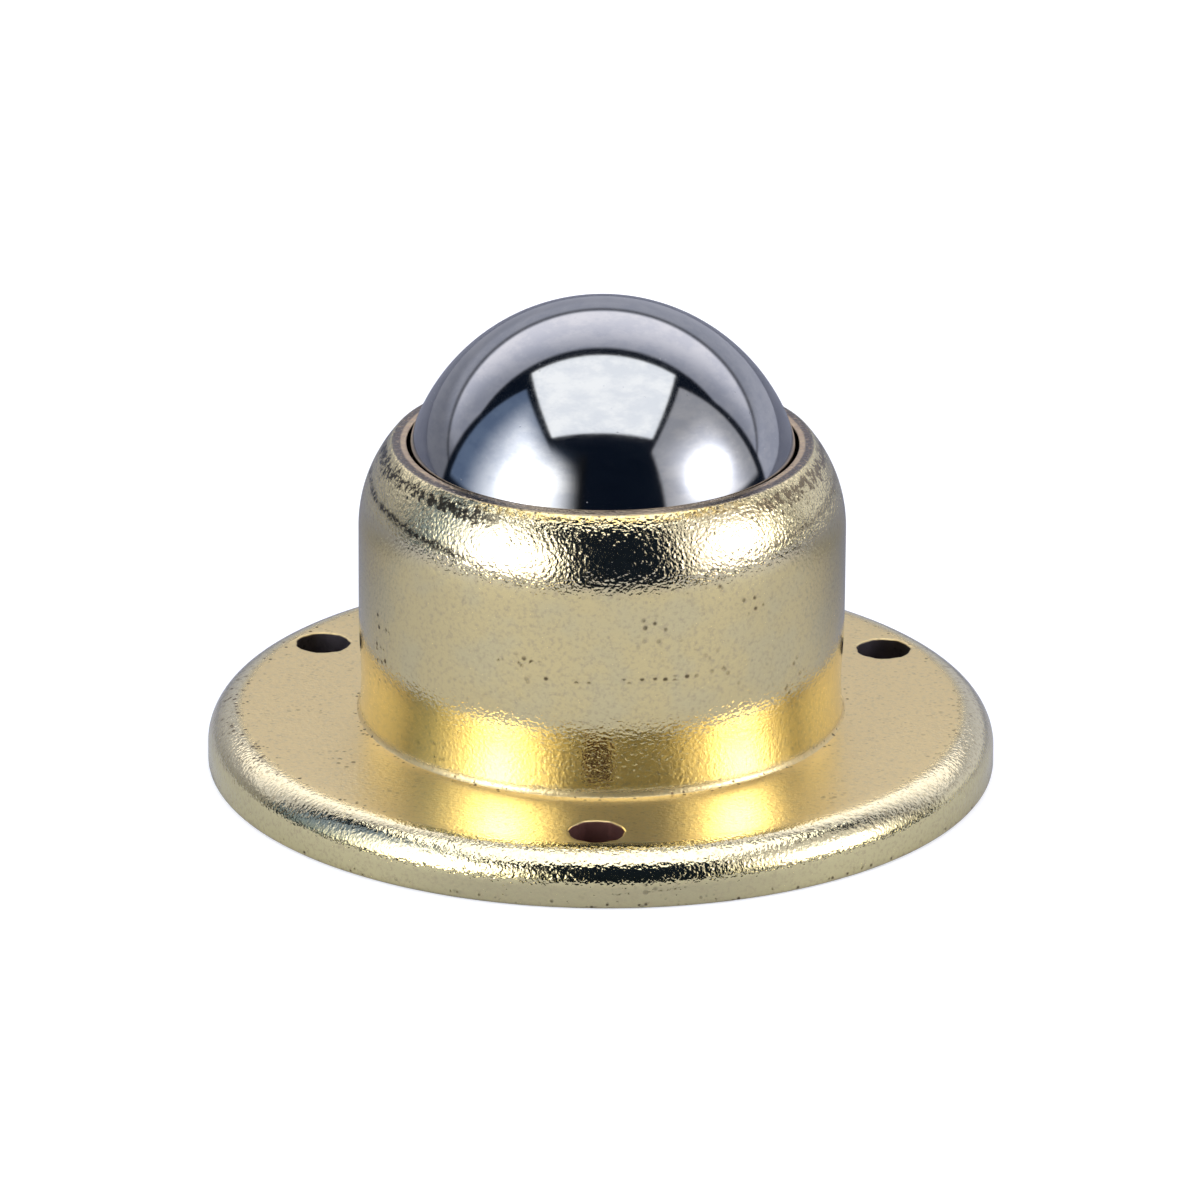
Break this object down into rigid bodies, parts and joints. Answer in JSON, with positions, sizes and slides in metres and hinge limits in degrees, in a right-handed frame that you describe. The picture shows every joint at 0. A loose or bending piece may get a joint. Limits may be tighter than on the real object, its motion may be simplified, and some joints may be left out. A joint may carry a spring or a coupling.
{
  "type": "ball castor",
  "caption": "Round-flanged ball castor: a polished steel ball held in a drawn, yellow-plated housing and rolling on a bed of small balls, screwed down through its flange.",
  "frame": {"origin": "middle of the underside of the flange, on the axis of the ball", "axes": "+Z out of the mounting face along the housing's axis, towards the ball; one screw hole lies on -Y"},
  "size_m": [0.05, 0.05, 0.0305],
  "materials": {
    "plated_steel": "satin",
    "hardened_steel": "satin",
    "polished_steel": "polished"
  },
  "bodies": {
    "housing": {"housing": "plated_steel", "base_plate": "plated_steel", "ball_seat": "hardened_steel"},
    "ball_bed": {"support_ball_01": "hardened_steel", "support_ball_02": "hardened_steel", "support_ball_03": "hardened_steel", "support_ball_04": "hardened_steel", "support_ball_05": "hardened_steel", "support_ball_06": "hardened_steel", "support_ball_07": "hardened_steel", "support_ball_08": "hardened_steel", "support_ball_09": "hardened_steel", "support_ball_10": "hardened_steel", "support_ball_11": "hardened_steel", "support_ball_12": "hardened_steel", "support_ball_13": "hardened_steel", "support_ball_14": "hardened_steel", "support_ball_15": "hardened_steel", "support_ball_16": "hardened_steel", "support_ball_17": "hardened_steel", "support_ball_18": "hardened_steel", "support_ball_19": "hardened_steel", "support_ball_20": "hardened_steel", "support_ball_21": "hardened_steel", "support_ball_22": "hardened_steel", "support_ball_23": "hardened_steel", "support_ball_24": "hardened_steel", "support_ball_25": "hardened_steel", "support_ball_26": "hardened_steel", "support_ball_27": "hardened_steel", "support_ball_28": "hardened_steel", "support_ball_29": "hardened_steel", "support_ball_30": "hardened_steel", "support_ball_31": "hardened_steel", "support_ball_32": "hardened_steel", "support_ball_33": "hardened_steel", "support_ball_34": "hardened_steel", "support_ball_35": "hardened_steel", "support_ball_36": "hardened_steel", "support_ball_37": "hardened_steel", "support_ball_38": "hardened_steel", "support_ball_39": "hardened_steel", "support_ball_40": "hardened_steel", "support_ball_41": "hardened_steel", "support_ball_42": "hardened_steel", "support_ball_43": "hardened_steel", "support_ball_44": "hardened_steel", "support_ball_45": "hardened_steel", "support_ball_46": "hardened_steel", "support_ball_47": "hardened_steel", "support_ball_48": "hardened_steel", "support_ball_49": "hardened_steel", "support_ball_50": "hardened_steel", "support_ball_51": "hardened_steel", "support_ball_52": "hardened_steel", "support_ball_53": "hardened_steel"},
    "main_ball": {"main_ball": "polished_steel"}
  },
  "joints": [
    {"name": "bed_turn", "type": "hinge", "parent": "housing", "child": "ball_bed", "pos_m": [0, 0, 0.0178], "axis": [0, 0, 1], "continuous": true},
    {"name": "ball_roll", "type": "hinge", "parent": "ball_bed", "child": "main_ball", "pos_m": [0, 0, 0.0178], "axis": [1, 0, 0], "continuous": true}
  ]
}
